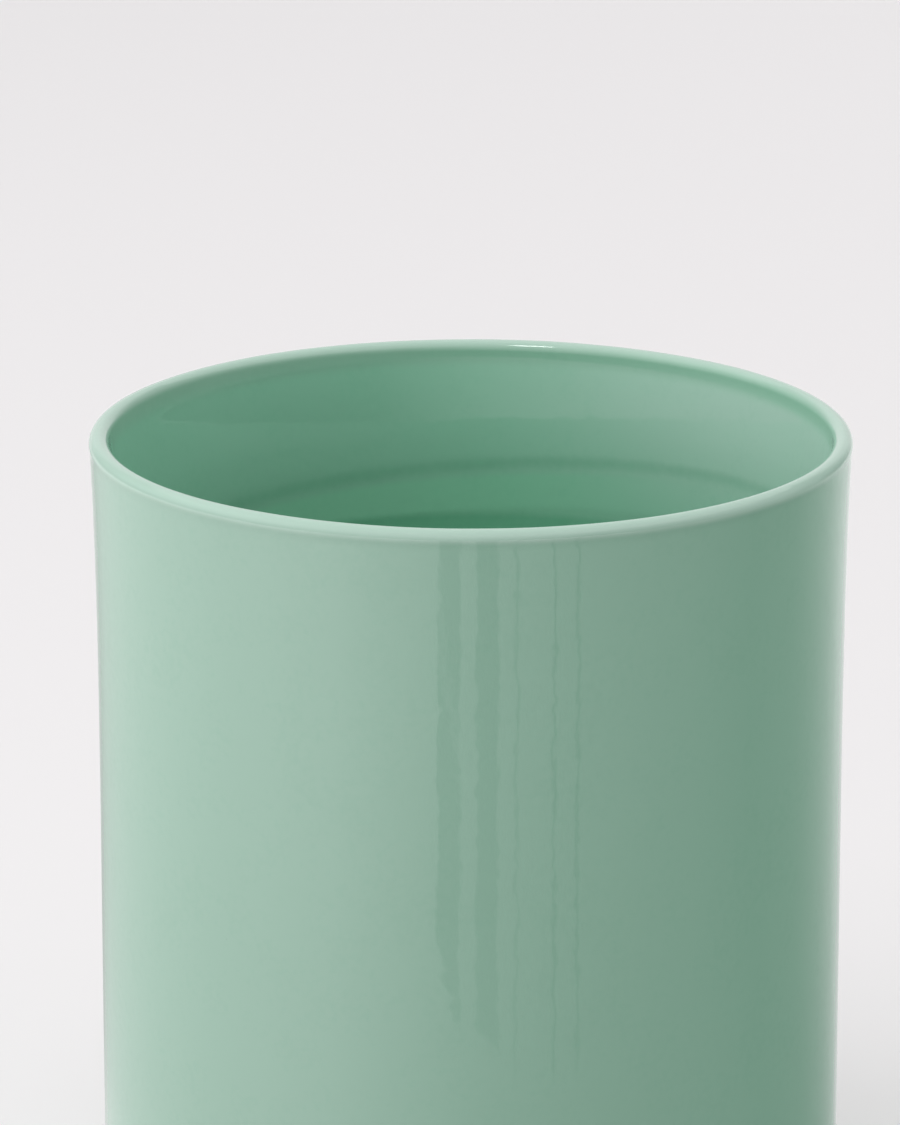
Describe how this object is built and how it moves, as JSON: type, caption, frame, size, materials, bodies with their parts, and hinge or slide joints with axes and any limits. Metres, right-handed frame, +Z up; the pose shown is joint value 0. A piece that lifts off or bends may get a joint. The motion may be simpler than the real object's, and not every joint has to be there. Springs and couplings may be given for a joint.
{
  "type": "brush pot",
  "caption": "Round upright brush pot with near-straight walls, a slightly flared soft lip, a deep open well and a bare foot ring below a pale green glaze.",
  "frame": {"origin": "middle of the foot ring's resting face, on the pot's own axis", "axes": "+Z up along the axis the pot was turned on, towards the mouth; +X and +Y lie across it and are alike"},
  "size_m": [0.1, 0.1, 0.13],
  "materials": {
    "mint_glaze": "gloss",
    "bare_clay": "matte"
  },
  "bodies": {
    "root": {"clay_body": "bare_clay", "glaze_coat": "mint_glaze", "recess_glaze": "mint_glaze"}
  },
  "joints": []
}
